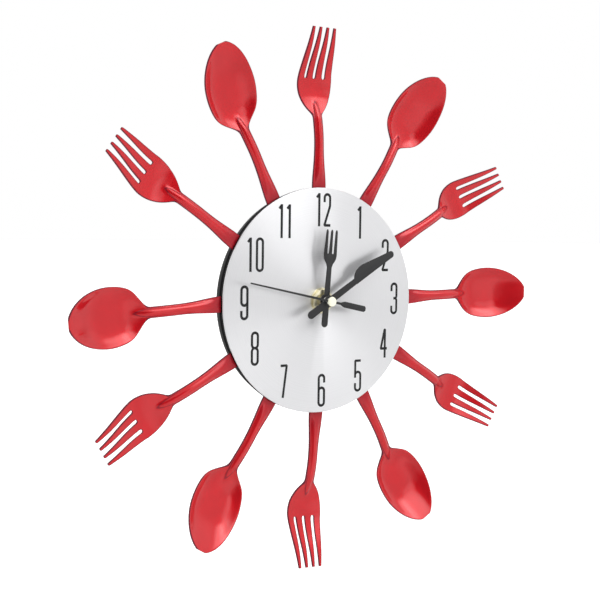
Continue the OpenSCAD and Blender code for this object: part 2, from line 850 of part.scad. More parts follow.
// A cylinder along X around the coil's axis
module along_coil(x0, x1, r) {
    translate([x0, stator_level + stator_t / 2 - total_depth, coil_z])
        rotate([0, 90, 0]) cylinder(h = x1 - x0, r = r);
}

module core_slot(margin) {
    thick = stator_t + 2 * margin;
    translate([coil_left - 2, stator_level - margin - total_depth, coil_z - core_w / 2 - margin])
        cube([coil_l + 4, thick, core_w + 2 * margin]);
}

module coil_bobbin() {
    color("white") difference() {
        union() {
            along_coil(coil_left, coil_left + coil_l, 2);
            along_coil(coil_left, coil_left + coil_flange_t, coil_flange_r);
            along_coil(coil_left + coil_l - coil_flange_t, coil_left + coil_l, coil_flange_r);
        }
        core_slot(run_clear);
    }
}

module coil_winding() {
    color("chocolate") difference() {
        along_coil(coil_left + coil_flange_t, coil_left + coil_l - coil_flange_t, coil_r);
        along_coil(coil_left, coil_left + coil_l, 2);
    }
}

module circuit_board() {
    color("darkgreen") slab(plate_level, plate_level + board_t)
        translate([board_left, plate_low])
            square([tray_in - free_clear - board_left, board_high - plate_low]);
}

module clock_chip() {
    color("black") disc(plate_level - 1, plate_level, 3, 0, [board_left + 5.5, 8]);
}

module quartz_crystal() {
    crystal_r = 1;
    color("silver")
        translate([board_left + 8, plate_level - crystal_r - total_depth, plate_low + 3])
            cylinder(h = 6, r = crystal_r);
}

// ---------------------------------------------------------------- battery

module cell_part(x0, x1, r) {
    translate([x0, cell_d - total_depth, cell_z]) rotate([0, 90, 0])
        cylinder(h = x1 - x0, r = r);
}

module battery() {
    color("orange") {
        cell_part(-cell_l / 2, cell_l / 2 - nub_l, cell_r);
        cell_part(cell_l / 2 - nub_l - 0.1, cell_l / 2, nub_r);
    }
}

// A flat plate across the end of the bay, on its side wall
module contact(side) {
    translate([side * (tray_in - contact_t / 2), cell_d - total_depth, cell_z])
        cube([contact_t, 10, 10], center = true);
}

module contact_positive() {
    color("silver") contact(1);
}

module contact_negative() {
    inner = cell_l / 2 + run_clear;
    color("silver") {
        contact(-1);
        cell_part(-tray_in + contact_t / 2, -inner, 1.5);
    }
}

// ---------------------------------------------------------------- nodes

dial_plate();
front_shell();
rear_shell();
case_screws();
fork(0);  // fork_12
spoon(1);  // spoon_01
fork(2);  // fork_02
spoon(3);  // spoon_03
fork(4);  // fork_04
spoon(5);  // spoon_05
fork(6);  // fork_06
spoon(7);  // spoon_07
fork(8);  // fork_08
spoon(9);  // spoon_09
fork(10);  // fork_10
spoon(11);  // spoon_11
neck_bush();
neck_washer();
neck_nut();
gasket();
movement_tray();
movement_cover();
train_plate();
plate_screws();
hour_wheel();
hour_hand();
cannon_pinion();
minute_hand();
minute_wheel();
second_wheel();
second_hand();
second_hand_collet();
second_hand_cap();
third_wheel();
intermediate_wheel();
rotor_pinion();
rotor_magnet();
motion_wheel();
setting_knob();
stator();
coil_bobbin();
coil_winding();
circuit_board();
clock_chip();
quartz_crystal();
contact_positive();
contact_negative();
battery();
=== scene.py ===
"""Looks of a wall clock whose rim is set with red forks and spoons.

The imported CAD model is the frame. The cutlery, the numerals and the visible case pieces are
modelled here, every piece is given its finish, and the studio is put round the clock.
Lengths in the classes are in millimetres; meshes are in metres.
"""

import logging
import math
from collections.abc import Callable
from dataclasses import dataclass, field
from enum import Enum

import bmesh
import bpy
from mathutils import Matrix, Vector

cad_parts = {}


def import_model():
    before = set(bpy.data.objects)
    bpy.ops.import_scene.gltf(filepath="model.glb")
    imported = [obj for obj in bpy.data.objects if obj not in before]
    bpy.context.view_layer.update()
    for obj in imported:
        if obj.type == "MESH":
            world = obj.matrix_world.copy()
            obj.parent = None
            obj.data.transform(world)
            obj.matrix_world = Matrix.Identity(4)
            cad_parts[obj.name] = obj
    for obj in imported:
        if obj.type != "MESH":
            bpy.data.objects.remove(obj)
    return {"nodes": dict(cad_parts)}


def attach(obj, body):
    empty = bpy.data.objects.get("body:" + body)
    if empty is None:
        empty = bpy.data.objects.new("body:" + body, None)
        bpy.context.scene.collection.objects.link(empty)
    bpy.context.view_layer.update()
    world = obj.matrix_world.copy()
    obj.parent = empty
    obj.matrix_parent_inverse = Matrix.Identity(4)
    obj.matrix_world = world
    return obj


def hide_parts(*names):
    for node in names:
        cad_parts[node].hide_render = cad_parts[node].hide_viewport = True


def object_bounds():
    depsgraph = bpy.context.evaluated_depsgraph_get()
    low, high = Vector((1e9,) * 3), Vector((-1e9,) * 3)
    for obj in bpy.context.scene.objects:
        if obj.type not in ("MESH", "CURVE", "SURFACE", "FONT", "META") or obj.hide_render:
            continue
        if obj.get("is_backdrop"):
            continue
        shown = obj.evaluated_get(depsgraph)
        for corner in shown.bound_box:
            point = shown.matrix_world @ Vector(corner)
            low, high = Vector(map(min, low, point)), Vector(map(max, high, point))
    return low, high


LOG = logging.getLogger("clock")
MM = 0.001
Colour = tuple[float, float, float]
Point = tuple[float, float]
Piece = bpy.types.Object
Socket = bpy.types.NodeSocket


# ---- small tools


def ease(start: float, end: float, x: float) -> float:
    """Smooth step of x.

    Args:
        start: Where the step begins.
        end: Where it is complete.
        x: The place asked about.

    Returns:
        0 before start, 1 after end, and a smooth rise between them.
    """
    t = min(1.0, max(0.0, (x - start) / (end - start)))
    return t * t * (3 - 2 * t)


def lookup(table: tuple[Point, ...], x: float) -> float:
    """Reads a table of (place, value) rows with straight lines between them.

    Args:
        table: Rows in order of place.
        x: The place asked about.

    Returns:
        The value there, held at its end values outside the table.
    """
    if x <= table[0][0]:
        return table[0][1]
    for (x0, y0), (x1, y1) in zip(table, table[1:]):
        if x <= x1:
            return y0 + (y1 - y0) * (x - x0) / (x1 - x0)
    return table[-1][1]


def make_active(piece: Piece) -> None:
    """Deselects everything, then selects one object and makes it active.

    Args:
        piece: The object that the next operators act on.
    """
    if bpy.context.mode != "OBJECT":
        bpy.ops.object.mode_set(mode="OBJECT")
    bpy.ops.object.select_all(action="DESELECT")
    piece.select_set(True)
    bpy.context.view_layer.objects.active = piece


class Bench:
    """Holds one mesh in edit mode, and selects its vertices by place."""

    def __init__(self, piece: Piece) -> None:
        """Opens the piece in edit mode with nothing selected.

        Args:
            piece: The mesh object to work on.
        """
        make_active(piece)
        bpy.ops.object.mode_set(mode="EDIT")
        bpy.context.tool_settings.mesh_select_mode = (True, False, False)
        bpy.ops.mesh.select_all(action="DESELECT")
        self.piece = piece
        self.mesh = bmesh.from_edit_mesh(piece.data)

    def places(self) -> list[Vector]:
        """Returns where each vertex is, in the order of the mesh."""
        return [vert.co.copy() for vert in self.mesh.verts]

    def pick(self, wanted: Callable[[Vector], bool]) -> int:
        """Selects the vertices whose place passes a test, and nothing else.

        Args:
            wanted: Says of a place whether its vertex is selected.

        Returns:
            How many are selected.
        """
        found = 0
        for vert in self.mesh.verts:
            vert.select_set(wanted(vert.co))
            found += vert.select
        self.mesh.select_flush_mode()
        bmesh.update_edit_mesh(self.piece.data, loop_triangles=False, destructive=False)
        return found

    def pick_one(self, index: int) -> None:
        """Selects one vertex by its number, and nothing else.

        Args:
            index: Its number in the mesh.
        """
        for vert in self.mesh.verts:
            if vert.select:
                vert.select_set(False)
        self.mesh.verts.ensure_lookup_table()
        self.mesh.verts[index].select_set(True)

    def pick_faces(self, wanted: Callable[[Vector], bool]) -> int:
        """Selects the faces whose middle passes a test, and nothing else.

        Args:
            wanted: Says of a place whether the face there is selected.

        Returns:
            How many are selected.
        """
        bpy.context.tool_settings.mesh_select_mode = (False, False, True)
        self.mesh = bmesh.from_edit_mesh(self.piece.data)
        bpy.ops.mesh.select_all(action="DESELECT")
        found = 0
        for face in self.mesh.faces:
            if wanted(face.calc_center_median()):
                face.select_set(True)
                found += 1
        bmesh.update_edit_mesh(self.piece.data, loop_triangles=False, destructive=False)
        return found

    def close(self) -> None:
        """Leaves edit mode."""
        bpy.context.tool_settings.mesh_select_mode = (True, False, False)
        bpy.ops.object.mode_set(mode="OBJECT")


def apply_modifier(piece: Piece, kind: str, **settings: object) -> None:
    """Adds a modifier to a piece and applies it.

    Args:
        piece: The object to change.
        kind: Blender's name for the modifier's type.
        **settings: Values to set on the modifier.
    """
    make_active(piece)
    modifier = piece.modifiers.new(kind.lower(), kind)
    for name, value in settings.items():
        setattr(modifier, name, value)
    bpy.ops.object.modifier_apply(modifier=modifier.name)


def place(piece: Piece, matrix: Matrix) -> None:
    """Moves a piece and puts the move into its mesh.

    Args:
        piece: The object, which ends at the origin, unturned and unscaled.
        matrix: Where it goes.
    """
    make_active(piece)
    piece.matrix_world = matrix
    bpy.ops.object.transform_apply(location=True, rotation=True, scale=True)


def smooth(piece: Piece, degrees: float = 35) -> None:
    """Shades a piece smooth wherever its faces meet at less than an angle.

    Args:
        piece: The object to shade.
        degrees: The angle.
    """
    make_active(piece)
    bpy.ops.object.shade_smooth_by_angle(angle=math.radians(degrees))


# ---- finishes


class NodeTree:
    """Adds and links the nodes of one tree."""

    def __init__(self, tree: bpy.types.NodeTree) -> None:
        """Keeps the tree."""
        self.tree = tree

    def add(self, kind: str, **settings: object) -> bpy.types.Node:
        """Adds a node.

        Args:
            kind: Blender's name for the node's type.
            **settings: Values to set on the node.

        Returns:
            The new node.
        """
        node = self.tree.nodes.new(kind)
        for name, value in settings.items():
            setattr(node, name, value)
        return node

    def link(self, out: Socket, into: Socket) -> None:
        """Links one socket to another."""
        self.tree.links.new(out, into)


class Dress(NodeTree):
    """Builds one material out of nodes round a Principled shader."""

    def __init__(self, name: str) -> None:
        """Starts a material.

        Args:
            name: What the material is called.
        """
        self.material = bpy.data.materials.new(name)
        self.material.use_nodes = True
        super().__init__(self.material.node_tree)
        self.shader = self.tree.nodes["Principled BSDF"]
        self.place = self.add("ShaderNodeTexCoord").outputs["Object"]

    def paint(self, colour: Socket) -> None:
        """Links a colour to the shader's base colour."""
        self.link(colour, self.shader.inputs["Base Color"])

    def set(self, **values: float | Colour) -> None:
        """Sets values on the shader's own sockets.

        Args:
            **values: Socket names with _ for a space, each with its number or colour.
        """
        for name, value in values.items():
            socket = self.shader.inputs[name.replace("_", " ")]
            socket.default_value = (*value, 1.0) if isinstance(value, tuple) else value

    def noise(self, scale: float, detail: float = 3, stretch: Colour = (1, 1, 1)) -> Socket:
        """Adds a noise pattern on the piece's own coordinates.

        Args:
            scale: Grains to a metre.
            detail: How many finer layers it has.
            stretch: How the coordinates are scaled first.

        Returns:
            The pattern's value.
        """
        turn = self.add("ShaderNodeMapping")
        turn.inputs["Scale"].default_value = stretch
        self.link(self.place, turn.inputs["Vector"])
        grain = self.add("ShaderNodeTexNoise")
        grain.inputs["Scale"].default_value = scale
        grain.inputs["Detail"].default_value = detail
        self.link(turn.outputs["Vector"], grain.inputs["Vector"])
        return grain.outputs["Fac"]

    def ramp(self, value: Socket, stops: list[tuple[float, Colour]]) -> Socket:
        """Turns a value into a colour.

        Args:
            value: The value, from 0 to 1.
            stops: Places from 0 to 1, each with its colour.

        Returns:
            The colour.
        """
        ramp = self.add("ShaderNodeValToRGB")
        bar = ramp.color_ramp.elements
        while len(bar) < len(stops):
            bar.new(0.5)
        for element, (at, colour) in zip(bar, stops):
            element.position = at
            element.color = (*colour, 1.0)
        self.link(value, ramp.inputs["Fac"])
        return ramp.outputs["Color"]

    def spread(self, value: Socket, low: float, high: float) -> Socket:
        """Maps a value from 0..1 to a range.

        Args:
            value: The value.
            low: What 0 becomes.
            high: What 1 becomes.

        Returns:
            The mapped value.
        """
        mapped = self.add("ShaderNodeMapRange")
        mapped.inputs["To Min"].default_value = low
        mapped.inputs["To Max"].default_value = high
        self.link(value, mapped.inputs["Value"])
        return mapped.outputs["Result"]

    def tint(
        self, value: Socket, colour: Colour, dark: float, light: float, margin: float = 0.3
    ) -> Socket:
        """Varies a colour with a pattern.

        Args:
            value: The pattern.
            colour: The colour.
            dark: Its factor where the pattern is low.
            light: Its factor where the pattern is high.
            margin: How near to the pattern's ends the factors are reached.

        Returns:
            The varied colour.
        """
        return self.ramp(value, [(margin, scaled(colour, dark)), (1 - margin, scaled(colour, light))])

    def gloss(self, value: Socket, roughness: float, low: float, high: float) -> None:
        """Varies the roughness with a pattern, between two shares of it.

        Args:
            value: The pattern.
            roughness: The roughness.
            low: Its factor where the pattern is low.
            high: Its factor where the pattern is high.
        """
        self.link(self.spread(value, roughness * low, roughness * high), self.shader.inputs["Roughness"])

    def bump(self, value: Socket, depth: float, strength: float) -> None:
        """Lets a pattern raise the surface.

        Args:
            value: The pattern.
            depth: Its height in metres.
            strength: How much of it shows.
        """
        bump = self.add("ShaderNodeBump")
        bump.inputs["Strength"].default_value = strength
        bump.inputs["Distance"].default_value = depth
        self.link(value, bump.inputs["Height"])
        self.link(bump.outputs["Normal"], self.shader.inputs["Normal"])


def scaled(colour: Colour, by: float) -> Colour:
    """Returns a colour made lighter or darker by a factor."""
    return tuple(min(1.0, part * by) for part in colour)


@dataclass(frozen=True)
class Lacquer:
    """Translucent red lacquer over pressed metal, with a clear gloss coat."""

    colour: Colour = (0.56, 0.010, 0.016)
    # Colour of the painted shade along the edges, round the boss and beside the dial.
    pool: Colour = (0.13, 0.014, 0.028)
    metal: float = 0.35
    gloss: float = 0.07

    def material(self) -> bpy.types.Material:
        """Builds the material: deep red, darkened by painted shade along the edges, round the boss and
        beside the dial.

        Returns:
            The material.
        """
        dress = Dress("red_lacquer")
        flow = dress.noise(90, 2)
        body = dress.tint(flow, self.colour, 0.94, 1.04)
        # Painted shade: a vertex attribute mixes the red towards the shade colour and thins the gloss
        # coat there.
        pool = dress.add("ShaderNodeAttribute", attribute_name="pool")
        mix = dress.add("ShaderNodeMix", data_type="RGBA")
        dress.link(pool.outputs["Fac"], mix.inputs["Factor"])
        dress.link(body, mix.inputs["A"])
        mix.inputs["B"].default_value = (*self.pool, 1.0)
        dress.paint(mix.outputs["Result"])
        dress.link(dress.spread(pool.outputs["Fac"], 1.0, 0.25), dress.shader.inputs["Coat Weight"])
        dress.set(Metallic=self.metal, Roughness=0.36, Specular_IOR_Level=0.0)
        dress.set(Coat_Roughness=self.gloss, Coat_IOR=1.5)
        dress.bump(dress.noise(260, 2), 0.00006, 0.12)
        return dress.material


@dataclass(frozen=True)
class SpunMetal:
    """Aluminium or brass turned on a lathe, with fine rings round the clock's axis."""

    name: str
    colour: Colour
    roughness: float = 0.34
    stretch: float = 0.9
    metal: float = 0.62

    def material(self) -> bpy.types.Material:
        """Builds the material: its highlight fans out from the axis.

        Returns:
            The material.
        """
        dress = Dress(self.name)
        parts = dress.add("ShaderNodeSeparateXYZ")
        dress.link(dress.place, parts.inputs["Vector"])
        flat = dress.add("ShaderNodeCombineXYZ")
        dress.link(parts.outputs["X"], flat.inputs["X"])
        dress.link(parts.outputs["Z"], flat.inputs["Y"])
        radius = dress.add("ShaderNodeVectorMath", operation="LENGTH")
        dress.link(flat.outputs["Vector"], radius.inputs[0])
        rings = dress.add("ShaderNodeTexNoise", noise_dimensions="1D")
        rings.inputs["Scale"].default_value = 2600
        rings.inputs["Detail"].default_value = 4
        dress.link(radius.outputs["Value"], rings.inputs["W"])
        ring = rings.outputs["Fac"]
        dress.paint(dress.tint(ring, self.colour, 0.95, 1.03, 0.25))
        dress.gloss(ring, self.roughness, 0.9, 1.1)
        turn = dress.add("ShaderNodeTangent", direction_type="RADIAL", axis="Y")
        dress.link(turn.outputs["Tangent"], dress.shader.inputs["Tangent"])
        dress.set(Metallic=self.metal, Anisotropic=self.stretch, Anisotropic_Rotation=0.25)
        return dress.material


@dataclass(frozen=True)
class Moulded:
    """A plastic, rubber, ink or paint with a fine grain."""

    name: str
    colour: Colour
    roughness: float = 0.45
    grain: float = 1800
    relief: float = 0.00003
    sheen: float = 0.5

    def material(self) -> bpy.types.Material:
        """Builds the material: colour and gloss vary a little with the grain.

        Returns:
            The material.
        """
        dress = Dress(self.name)
        fine = dress.noise(self.grain, 3)
        cloud = dress.noise(self.grain / 30, 2)
        dress.paint(dress.tint(cloud, self.colour, 0.88, 1.12))
        dress.gloss(cloud, self.roughness, 0.9, 1.12)
        dress.set(Specular_IOR_Level=self.sheen)
        dress.bump(fine, self.relief, 0.5)
        return dress.material


@dataclass(frozen=True)
class PlainMetal:
    """A plated, drawn or rolled metal with faint streaks."""

    name: str
    colour: Colour
    roughness: float = 0.28
    streak: Colour = (1, 1, 1)

    def material(self) -> bpy.types.Material:
        """Builds the material: streaks change its tone and gloss a little.

        Returns:
            The material.
        """
        dress = Dress(self.name)
        lines = dress.noise(900, 3, self.streak)
        dress.paint(dress.tint(lines, self.colour, 0.9, 1.06, 0.25))
        dress.gloss(lines, self.roughness, 0.8, 1.2)
        dress.set(Metallic=1.0)
        dress.bump(lines, 0.00002, 0.2)
        return dress.material


@dataclass(frozen=True)
class CellSleeve:
    """The printed sleeve of a cell: copper over black, with a bare metal nub."""

    reach: float = 26.0
    step: float = 0.003
    copper: Colour = (0.55, 0.25, 0.07)
    black: Colour = (0.02, 0.02, 0.022)
    bare: Colour = (0.72, 0.72, 0.72)
    band_at: float = 9.0
    nub_at: float = 24.1

    def material(self) -> bpy.types.Material:
        """Builds the material: its colour follows the length of the cell, along X.

        Returns:
            The material.
        """
        dress = Dress("cell_sleeve")
        parts = dress.add("ShaderNodeSeparateXYZ")
        dress.link(dress.place, parts.inputs["Vector"])
        along = dress.add("ShaderNodeMapRange")
        reach = self.reach * MM
        along.inputs["From Min"].default_value = -reach
        along.inputs["From Max"].default_value = reach
        dress.link(parts.outputs["X"], along.inputs["Value"])
        band = 0.5 + self.band_at * MM / reach / 2
        nub = 0.5 + self.nub_at * MM / reach / 2
        tone = dress.ramp(
            along.outputs["Result"],
            [
                (0.0, self.black),
                (band, self.black),
                (band + self.step, self.copper),
                (nub, self.copper),
                (nub + self.step, self.bare),
            ],
        )
        dress.paint(tone)
        gloss = dress.noise(300, 2)
        dress.link(dress.spread(gloss, 0.22, 0.32), dress.shader.inputs["Roughness"])
        dress.set(Metallic=0.7, Coat_Weight=0.6, Coat_Roughness=0.1)
        return dress.material


class Finish(Enum):
    """Every finish on the clock."""

    LACQUER = Lacquer()
    DIAL = SpunMetal("spun_aluminium", (0.785, 0.785, 0.80))
    BRASS = PlainMetal("pale_brass", (0.90, 0.84, 0.60), 0.38)
    CASE = Moulded("case_plastic", (0.004, 0.004, 0.0045), 0.5, 1800, 0.00003, 0.12)
    MOVEMENT = Moulded("movement_plastic", (0.020, 0.020, 0.022), 0.5, 1400, 0.00006)
    HAND = Moulded("hand_paint", (0.012, 0.012, 0.013), 0.42, 2400, 0.00001)
    INK = Moulded("dial_ink", (0.010, 0.010, 0.011), 0.5, 2400, 0.00001, 0.3)
    CAP = Moulded("ivory_cap", (0.86, 0.85, 0.68), 0.3, 900, 0.00001)
    ACETAL = Moulded("white_acetal", (0.80, 0.79, 0.74), 0.35, 900, 0.00001)
    KNOB = Moulded("red_knob", (0.50, 0.015, 0.015), 0.35, 900, 0.00001)
    BOARD = Moulded("board_green", (0.02, 0.16, 0.06), 0.4, 700, 0.00001)
    RESIN = Moulded("chip_resin", (0.012, 0.012, 0.012), 0.25, 700, 0.00001)
    RUBBER = Moulded("gasket_rubber", (0.02, 0.02, 0.02), 0.8, 2000)
    MAGNET = Moulded("magnet", (0.10, 0.10, 0.11), 0.4, 1500)
    STEEL = PlainMetal("plated_steel", (0.72, 0.72, 0.73), 0.25)
    STATOR = PlainMetal("stator_steel", (0.50, 0.51, 0.55), 0.4, (1, 8, 1))
    WIRE = PlainMetal("copper_wire", (0.62, 0.27, 0.13), 0.35, (14, 1, 1))
    CELL = CellSleeve()


class Wardrobe:
    """Makes each finish's material once, and puts it on pieces."""

    def __init__(self) -> None:
        """Starts with no material made."""
        self.made: dict[Finish, bpy.types.Material] = {}

    def get(self, finish: Finish) -> bpy.types.Material:
        """Gives the material of a finish, made the first time that it is asked for.

        Args:
            finish: The finish.

        Returns:
            Its material.
        """
        if finish not in self.made:
            self.made[finish] = finish.value.material()
        return self.made[finish]

    def put_on(self, piece: Piece, finish: Finish) -> None:
        """Dresses a new piece in one finish.

        Args:
            piece: The object.
            finish: What it wears.
        """
        piece.data.materials.clear()
        piece.data.materials.append(self.get(finish))

    def put_on_node(self, node: Piece, finish: Finish) -> None:
        """Dresses a CAD node through its object's own slots, so that its mesh stays as it is.

        Args:
            node: The CAD node's object.
            finish: What it wears.
        """
        for slot in node.material_slots:
            slot.link = "OBJECT"
            slot.material = self.get(finish)


# ---- cutlery


@dataclass
class Cutlery:
    """What a fork and a spoon have in common: the tang, the handle and its ridge."""

    dial_r: float = 65.0
    depth: float = 19.2
    tang_mid: float = 3.0
    tang_w: float = 9.0
    handle_l: float = 40.0
    handle_w: float = 6.0
    ridge_h: float = 1.4
    ridge_power: float = 2.2
    metal_t: float = 1.15
    ridge_share: float = 0.76
    boss_l: float = 9.5
    # Painted shade: its width along the cut edges, and its width and strength round the boss.
    pool_w: float = 0.6
    line_w: float = 0.16
    line_dark: float = 0.75
    # Strength of the painted shadow on the handle beside the dial.
    foot_dark: float = 0.4
    crease: float = 0.9
    edge_r: float = 0.16
    edge_angle: float = 50.0
    back_catch: float = 1.2
    back_fade: Point = (-8, 2)
    pivot: float = 62.0
    lean: tuple[float, ...] = (-0.5, 3.6, 2, -1, 0.5, 0.6, 3.7, 1.7, 1.4, -4.6, 5.1, 4.6)
    shift: tuple[float, ...] = (-0.7, -0.5, -0.7, -0.7, -0.3, 0.3, 0.7, 0.3, 0.8, -0.4, 0.7, 0.9)
    handle_rows: tuple[float, ...] = (-14, -7, -0.6, 1.5, 4, 7, 11, 16, 22, 28, 33, 36.5, 40)

    def handle_half(self, s: float) -> float:
        """Returns half the handle's width at a distance beyond the dial's edge."""
        flare = (self.tang_w - self.handle_w) / 2
        return self.handle_w / 2 + flare * (1 - ease(0, self.handle_l * 0.55, s))

    def ridge_half(self, s: float) -> float:
        """Gives half the width of the raised ridge.

        Args:
            s: Distance beyond the dial's edge.

        Returns:
            Half its width there.
        """
        x = s - self.handle_l
        along_handle = self.handle_half(s) * self.ridge_share
        return along_handle if x <= 0 else along_handle * (1 - 0.22 * min(1.0, x / self.boss_l))

    def ridge(self, s: float, across: float) -> float:
        """Height of the ridge, which ends as a rounded boss in the root of the head.

        Args:
            s: Distance beyond the dial's edge.
            across: Distance from the middle line.

        Returns:
            How far the ridge stands in front of the metal there.
        """
        x = s - self.handle_l
        end = 1.0 if x <= 0 else math.sqrt(max(0.0, 1 - (x / self.boss_l) ** 2))
        side = min(1.0, abs(across) / self.ridge_half(s))
        return self.ridge_h * ease(-0.5, 9, s) * end * (1 - side**self.ridge_power)

    def half(self, s: float) -> float:
        """Returns half the piece's width at a distance beyond the dial's edge."""
        return self.tang_w / 2 if s < 0 else self.handle_half(s)

    def lines(self, s: float) -> list[float]:
        """Returns the places of the grid's lines right of the middle, at one row."""
        raise NotImplementedError

    def front(self, s: float, across: float) -> float:
        """Returns the depth of the front skin behind the dial's front."""
        raise NotImplementedError

    def rows(self) -> list[float]:
        """Returns the rows of the grid, as distances beyond the dial's edge."""
        raise NotImplementedError

    def cut(self, bench: Bench) -> None:
        """Opens whatever the head has cut through it."""

    def blank(self, name: str) -> Piece:
        """Models the piece as it stands at 12 o'clock.

        A flat grid is drawn out row by row, its openings are cut, the sheet is given its
        thickness, the handle's back is pressed flat, and the skin is then subdivided.

        Args:
            name: The name of the piece.

        Returns:
            The finished mesh object.
        """
        rows = self.rows()
        right = len(self.lines(0))
        across = 2 * right - 1
        bpy.ops.object.select_all(action="DESELECT")
        bpy.ops.mesh.primitive_grid_add(
            x_subdivisions=across - 1,
            y_subdivisions=len(rows) - 1,
            size=2,
            rotation=(math.radians(90), 0, 0),
            location=(0, 0, 0),
        )
        piece = bpy.context.object
        piece.name = name
        bpy.ops.object.transform_apply(location=False, rotation=True, scale=False)
        bench = Bench(piece)
        for index, start in enumerate(bench.places()):
            column = round((start.x + 1) / 2 * (across - 1)) - (right - 1)
            row = round((start.z + 1) / 2 * (len(rows) - 1))
            s = rows[row]
            t = math.copysign(self.lines(s)[abs(column)], column) if column else 0.0
            goal = Vector((t, self.front(s, t) - self.depth, self.dial_r + s)) * MM
            bench.pick_one(index)
            bpy.ops.transform.translate(value=goal - start)
        self.cut(bench)
        bench.close()
        apply_modifier(
            piece,
            "SOLIDIFY",
            thickness=self.metal_t * MM,
            offset=self.solidify_side(piece),
            use_even_offset=True,
            edge_crease_rim=0.0,
            edge_crease_inner=self.crease,
            edge_crease_outer=self.crease,
        )
        self.flatten_back(piece)
        apply_modifier(piece, "SUBSURF", levels=2, render_levels=2)
        apply_modifier(
            piece,
            "BEVEL",
            width=self.edge_r * MM,
            segments=2,
            limit_method="ANGLE",
            angle_limit=math.radians(self.edge_angle),
        )
        # The painted shade is stored on the vertices.
        self.mark_pools(piece)
        smooth(piece, self.edge_angle)
        return piece

    def solidify_side(self, piece: Piece) -> float:
        """Returns the side on which the thickness goes so that the front skin stays in front."""
        return -1.0 if piece.data.polygons[0].normal.y < 0 else 1.0

    def flatten_back(self, piece: Piece) -> None:
        """Presses the back of the handle flat, row by row.

        Args:
            piece: The mesh object with its thickness.
        """
        bench = Bench(piece)
        step = self.back_catch * MM
        start, end = self.back_fade
        for s in self.handle_rows:
            z = (self.dial_r + s) * MM
            fade = 1 - ease(self.handle_l + start, self.handle_l + end, s)
            back = (self.front(s, self.half(s)) + self.metal_t - self.depth) * MM
            middle = back - 0.45 * self.metal_t * MM
            nearest = middle - self.ridge(s, 0) * MM / 2

            def on_row(co: Vector, s: float = s, z: float = z, nearest: float = nearest) -> bool:
                """Says whether a place is on the back skin of this row."""
                return abs(co.z - z) < step and co.y > nearest and self.is_back(co, s)

            if bench.pick(on_row):
                bpy.ops.transform.resize(value=(1, 1 - fade, 1), center_override=(0, back, z))
        bench.close()

    def is_back(self, co: Vector, s: float) -> bool:
        """Says whether a place is on the back skin.

        Args:
            co: The place.
            s: The row that it belongs to.

        Returns:
            True if it is nearer to the back skin than to the front.
        """
        front = (self.front(s, co.x / MM) - self.depth) * MM
        return co.y - front > self.metal_t * MM * 0.5

    def outline_gap(self, s: float, across: float) -> float:
        """Returns how far a place is from the nearest cut edge of the sheet."""
        return self.half(s) - across

    def pool_at(self, co: Vector) -> float:
        """Says how much painted shade darkens the lacquer at a place.

        Args:
            co: The place, on the piece as it stands at 12 o'clock.

        Returns:
            1 along the cut edges and round the boss, less beside the dial, and 0 elsewhere.
        """
        s, across = co.z / MM - self.dial_r, abs(co.x) / MM
        # Painted shade along the cut edges.
        rim = 1 - ease(0.05, self.pool_w, self.outline_gap(s, across))
        x = s - self.handle_l
        # Painted shade in a dark line round the boss.
        ring = math.hypot(across / self.ridge_half(s), max(0.0, x) / self.boss_l)
        line = 1 - ease(0.0, self.line_w, abs(ring - 1))
        strength = self.line_dark * ease(-8, 2, x)
        # Painted shadow on the handle next to the dial's edge, where the case shades it.
        dial_shadow = self.foot_dark * (1 - ease(1, self.handle_l * 0.45, s))
        return max(rim, line * strength, dial_shadow)

    def mark_pools(self, piece: Piece) -> None:
        """Marks the painted shade on the vertices, for the finish to read.

        Args:
            piece: The mesh object.
        """
        mesh = piece.data
        marks = mesh.attributes.new("pool", "FLOAT", "POINT")
        for vert in mesh.vertices:
            marks.data[vert.index].value = self.pool_at(vert.co)

    def at_hour(self, blank: Piece, hour: int, name: str) -> Piece:
        """Copies the blank, with its own mesh, to its socket at one hour.

        Args:
            blank: The piece at 12 o'clock.
            hour: Which hour, from 0 to 11.
            name: The name of the copy.

        Returns:
            The copy.
        """
        piece = blank.copy()
        piece.data = blank.data.copy()
        piece.name = name
        bpy.context.scene.collection.objects.link(piece)
        turn = Matrix.Rotation(math.radians(30 * hour), 4, "Y")
        lean = Matrix.Rotation(math.radians(self.lean[hour]), 4, "Y")
        out = Matrix.Translation(Vector((self.shift[hour], 0, self.pivot)) * MM)
        back = Matrix.Translation(Vector((0, 0, -self.pivot)) * MM)
        place(piece, turn @ out @ lean @ back)
        return piece


